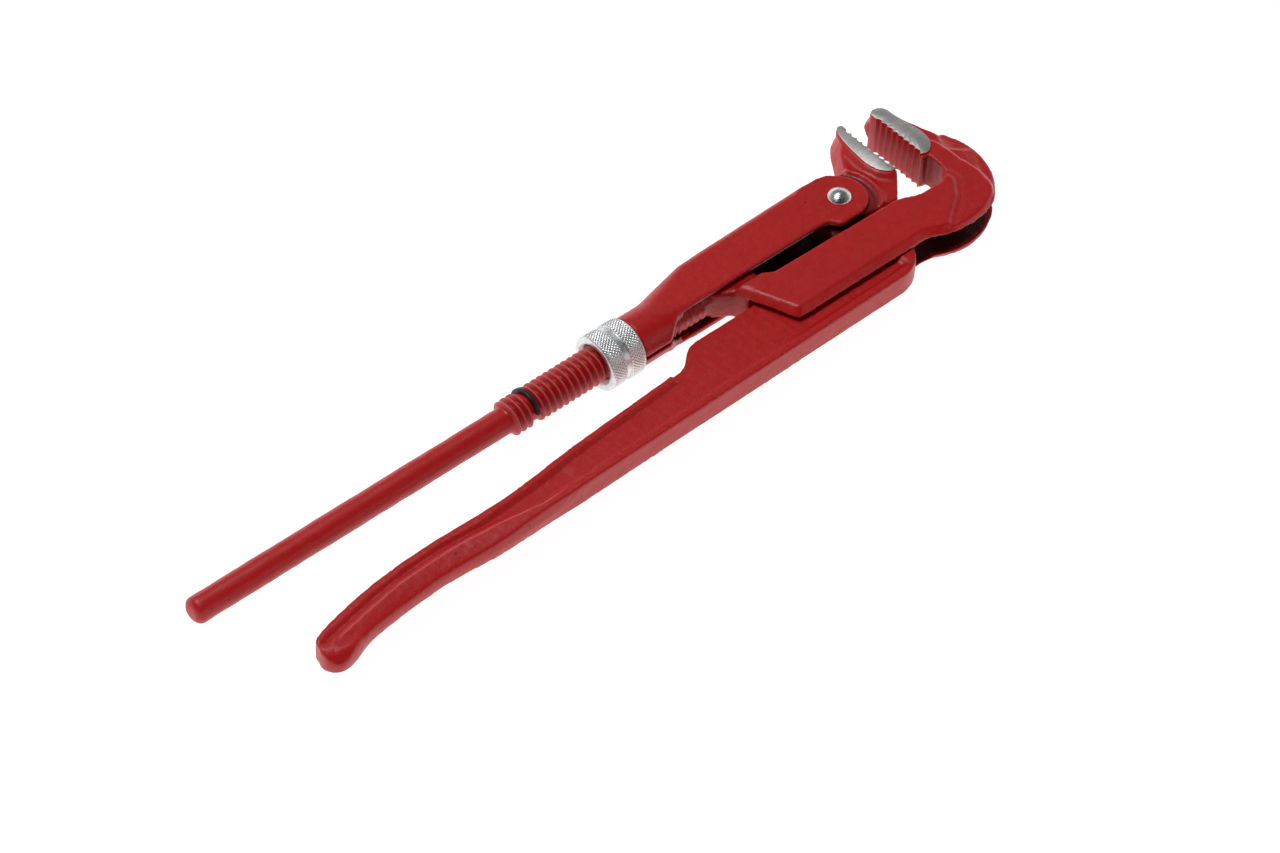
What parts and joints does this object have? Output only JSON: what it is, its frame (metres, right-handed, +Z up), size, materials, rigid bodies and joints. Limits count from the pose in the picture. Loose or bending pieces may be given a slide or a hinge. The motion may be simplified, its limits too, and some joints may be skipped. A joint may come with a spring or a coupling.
{
  "type": "pipe wrench",
  "caption": "Elbow-pattern pipe wrench with toothed right-angle jaws, a sliding fork sleeve, a knurled adjusting nut on a threaded rod, and a pivoting lever leg.",
  "frame": {"origin": "middle of the bounding box's footprint, on the surface that the wrench lies on", "axes": "+X along the threaded rod from the handles to the jaws, +Y from the handles' side towards the jaw tips, +Z up from the surface"},
  "size_m": [0.3184, 0.0724, 0.0212],
  "materials": {
    "red_paint": "satin signal-red paint with a fine orange-peel grain over forged steel",
    "ground_steel": "ground bright",
    "zinc_plate": "bright zinc plate, knurled",
    "polished_steel": "polished",
    "black_spring_steel": "blackened spring steel"
  },
  "bodies": {
    "hook_leg": {"hook_jaw": "red_paint", "threaded_rod": "red_paint", "stop_ring": "black_spring_steel"},
    "sleeve": {"sleeve": "red_paint", "jaw_rivet": "polished_steel"},
    "nut": {"adjusting_nut": "zinc_plate"},
    "lever": {"lever_leg": "red_paint"}
  },
  "joints": [
    {"name": "sleeve_slide", "type": "slide", "parent": "hook_leg", "child": "sleeve", "axis": [1, 0, 0], "range_m": [-0.0272, 0.0099]},
    {"name": "nut_turn", "type": "hinge", "parent": "sleeve", "child": "nut", "pos_m": [0.00833, 0.00938, 0.0106], "axis": [1, 0, 0], "range_deg": [-3922, 1431]},
    {"name": "lever_swing", "type": "hinge", "parent": "sleeve", "child": "lever", "pos_m": [0.10693, 0.00938, 0.0106], "axis": [0, 0, 1], "range_deg": [0, 18]}
  ],
  "couplings": [
    {"joint": "nut_turn", "follows": "sleeve_slide", "rad_per_m": 2513.3}
  ]
}
